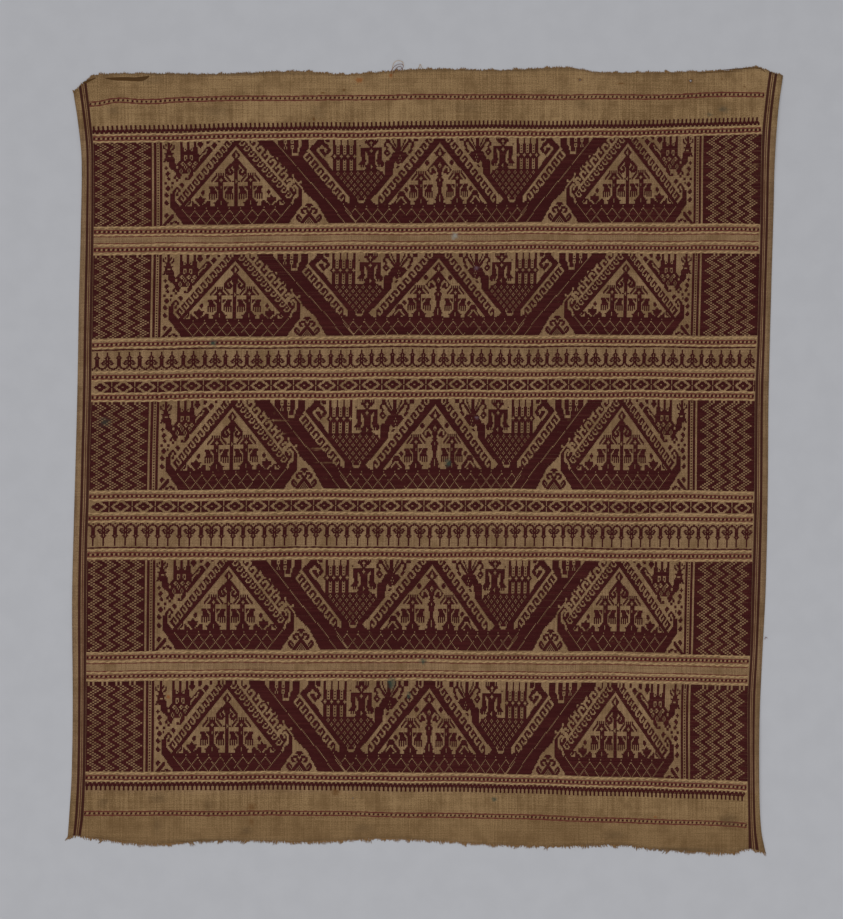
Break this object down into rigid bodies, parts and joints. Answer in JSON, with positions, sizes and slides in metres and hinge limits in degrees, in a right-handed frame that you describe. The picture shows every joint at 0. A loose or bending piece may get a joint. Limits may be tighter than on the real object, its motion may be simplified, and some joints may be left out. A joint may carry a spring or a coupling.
{
  "type": "tampan ceremonial cloth",
  "caption": "Rectangular handwoven ceremonial cloth with supplementary weft bands, lying flat, face up.",
  "frame": {"origin": "on the surface that the cloth lies on, under the middle of its bounding box", "axes": "+X along the weft, +Y along the warp towards the upper end band, +Z out of the face"},
  "size_m": [0.6842, 0.7508, 0.003],
  "materials": {
    "woven_cotton": "matt handspun cotton with maroon pattern wefts"
  },
  "bodies": {
    "root": {"woven_panel": "woven_cotton"}
  },
  "joints": []
}
